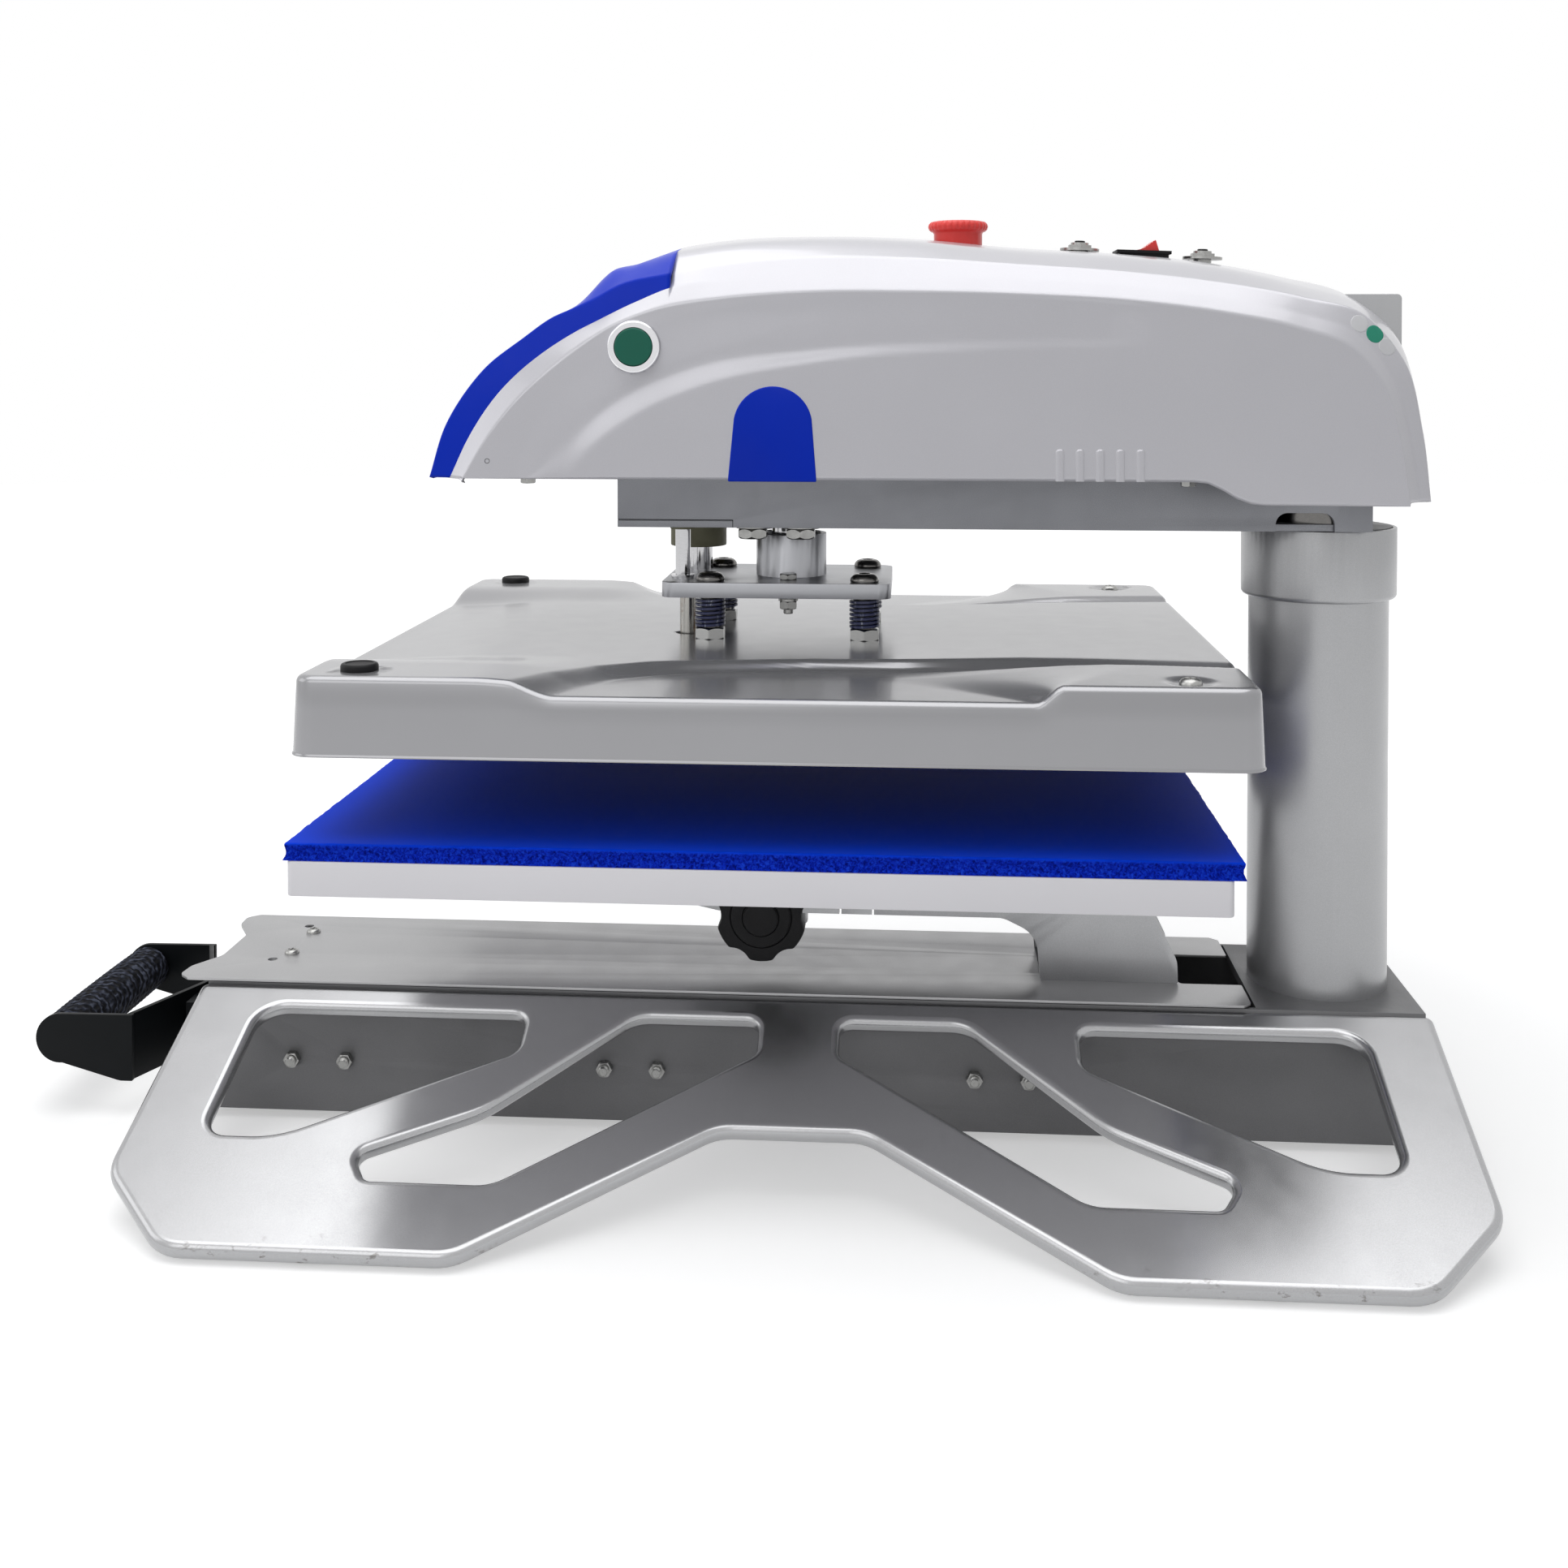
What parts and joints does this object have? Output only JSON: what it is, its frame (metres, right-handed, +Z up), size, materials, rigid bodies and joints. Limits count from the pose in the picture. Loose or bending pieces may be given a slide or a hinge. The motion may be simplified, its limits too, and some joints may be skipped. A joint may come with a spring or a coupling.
{
  "type": "swing-away heat press",
  "caption": "Powered heat press with a swinging head on a round column, a heated upper platen and a padded lower platen on a slide-out drawer.",
  "frame": {"origin": "on the floor plane of the feet, under the middle of the machine's bounding box", "axes": "+Z up, -Y towards the operator and the drawer handle, +X to the operator's right, which is the side in the picture"},
  "size_m": [0.459, 0.84, 0.552],
  "materials": {
    "silver_paint": "satin metallic paint",
    "sheet_steel": "brushed, lightly polished",
    "zinc_steel": "zinc plated",
    "dark_steel": "oiled steel",
    "button_metal": "satin",
    "bearing_bronze": "greased",
    "black_rubber": "matte",
    "black_paint": "smooth black paint",
    "grip_foam": "textured foam",
    "white_plate": "white coated",
    "blue_silicone": "silicone sponge",
    "black_plastic": "moulded",
    "pearl_plastic": "pearl silver gloss",
    "blue_plastic": "gloss blue",
    "panel_film": "dark film panel",
    "display_film": "dark display window",
    "cast_silver": "silver coated casting",
    "bare_aluminium": "machined",
    "nonstick_coating": "dark non-stick coating",
    "drive_metal": "dark paint",
    "polished_rod": "hard chrome",
    "bush_polymer": "cream acetal",
    "board_fibre": "pressed fibre",
    "spring_blue": "blue coated spring wire",
    "red_plastic": "gloss red",
    "green_plastic": "gloss green",
    "button_black": "moulded"
  },
  "bodies": {
    "base": {"base_channel": "silver_paint", "wing_right": "silver_paint", "wing_left": "silver_paint", "rubber_feet": "black_rubber", "wall_fasteners": "zinc_steel", "column_tube": "silver_paint", "column_collar": "silver_paint", "column_bearings": "bearing_bronze", "slide_outers": "zinc_steel"},
    "slide_middle": {"slide_middles": "zinc_steel"},
    "drawer": {"slide_inners": "zinc_steel", "drawer_carrier": "sheet_steel", "drawer_deck": "sheet_steel", "drawer_screws": "zinc_steel", "handle_frame": "black_paint", "handle_grip": "grip_foam", "platen_arm": "silver_paint", "platen_post": "silver_paint", "lower_platen": "white_plate", "silicone_pad": "blue_silicone"},
    "clamp_screw": {"clamp_stud": "zinc_steel"},
    "clamp_knob": {"clamp_knob": "black_plastic"},
    "head": {"arm_beam": "silver_paint", "pivot_shaft": "dark_steel", "head_cover": "pearl_plastic", "front_fascia": "blue_plastic", "control_panel": "panel_film", "display_window": "display_film", "side_inserts": "blue_plastic", "head_floor_plate": "sheet_steel", "head_screws": "zinc_steel", "actuator_body": "drive_metal", "drive_motor": "drive_metal", "guide_bushes": "bush_polymer", "terminal_box": "silver_paint", "power_inlet": "black_plastic", "button_bezels": "button_metal", "estop_collar": "button_metal", "rocker_frame": "black_plastic", "breaker_fittings": "zinc_steel"},
    "press": {"flange_plate": "bare_aluminium", "flange_fasteners": "zinc_steel", "actuator_ram": "polished_rod", "guide_rods": "polished_rod", "cable_tube": "zinc_steel", "platen_springs": "spring_blue"},
    "upper_platen": {"upper_platen_cover": "cast_silver", "heating_platen": "nonstick_coating", "insulation_board": "board_fibre", "platen_bolts": "dark_steel", "platen_nuts": "zinc_steel", "cover_plugs": "black_plastic", "cover_rear_screws": "zinc_steel"},
    "start_button_right": {"start_button_right": "green_plastic"},
    "start_button_left": {"start_button_left": "green_plastic"},
    "estop_stem": {"estop_stem": "black_plastic"},
    "estop_cap": {"estop_cap": "red_plastic"},
    "rocker_switch": {"rocker_switch": "red_plastic"},
    "breaker_button_front": {"breaker_button_front": "button_black"},
    "breaker_button_rear": {"breaker_button_rear": "button_black"}
  },
  "joints": [
    {"name": "drawer_slide", "type": "slide", "parent": "base", "child": "drawer", "axis": [0, -1, 0], "range_m": [0, 0.3]},
    {"name": "slide_middle_follow", "type": "slide", "parent": "base", "child": "slide_middle", "axis": [0, -1, 0], "range_m": [0, 0.1501]},
    {"name": "clamp_turn", "type": "hinge", "parent": "clamp_screw", "child": "clamp_knob", "pos_m": [0.06, 0.0275, 0.135], "axis": [1, 0, 0], "range_deg": [0, 720]},
    {"name": "clamp_advance", "type": "slide", "parent": "drawer", "child": "clamp_screw", "axis": [1, 0, 0], "range_m": [0, 0.0031]},
    {"name": "head_swing", "type": "hinge", "parent": "base", "child": "head", "pos_m": [0, 0.366, 0.364], "axis": [0, 0, 1], "range_deg": [-90, 90]},
    {"name": "press_stroke", "type": "slide", "parent": "head", "child": "press", "axis": [0, 0, -1], "range_m": [0, 0.045]},
    {"name": "platen_float", "type": "slide", "parent": "press", "child": "upper_platen", "axis": [0, 0, 1], "range_m": [0, 0.004], "stiffness_N_per_m": 40000, "deforming": ["platen_springs"]},
    {"name": "start_right_press", "type": "slide", "parent": "head", "child": "start_button_right", "axis": [-1, 0, 0], "range_m": [0, 0.003], "stiffness_N_per_m": 800},
    {"name": "start_left_press", "type": "slide", "parent": "head", "child": "start_button_left", "axis": [1, 0, 0], "range_m": [0, 0.003], "stiffness_N_per_m": 800},
    {"name": "estop_press", "type": "slide", "parent": "head", "child": "estop_stem", "axis": [0, 0, -1], "range_m": [0, 0.0033]},
    {"name": "estop_twist", "type": "hinge", "parent": "estop_stem", "child": "estop_cap", "pos_m": [0, 0.145, 0.54], "axis": [0, 0, 1], "range_deg": [-45, 0], "stiffness_Nm_per_rad": 0.05},
    {"name": "rocker_rock", "type": "hinge", "parent": "head", "child": "rocker_switch", "pos_m": [0, 0.258, 0.5306], "axis": [1, 0, 0], "range_deg": [-24, 0]},
    {"name": "breaker_front_press", "type": "slide", "parent": "head", "child": "breaker_button_front", "axis": [0, -0.0349, -0.9994], "range_m": [0, 0.0015], "stiffness_N_per_m": 400},
    {"name": "breaker_rear_press", "type": "slide", "parent": "head", "child": "breaker_button_rear", "axis": [0, -0.0349, -0.9994], "range_m": [0, 0.0015], "stiffness_N_per_m": 400}
  ],
  "couplings": [
    {"joint": "slide_middle_follow", "follows": "drawer_slide", "ratio": 0.5},
    {"joint": "clamp_advance", "follows": "clamp_turn", "m_per_rad": 0.00023873}
  ]
}
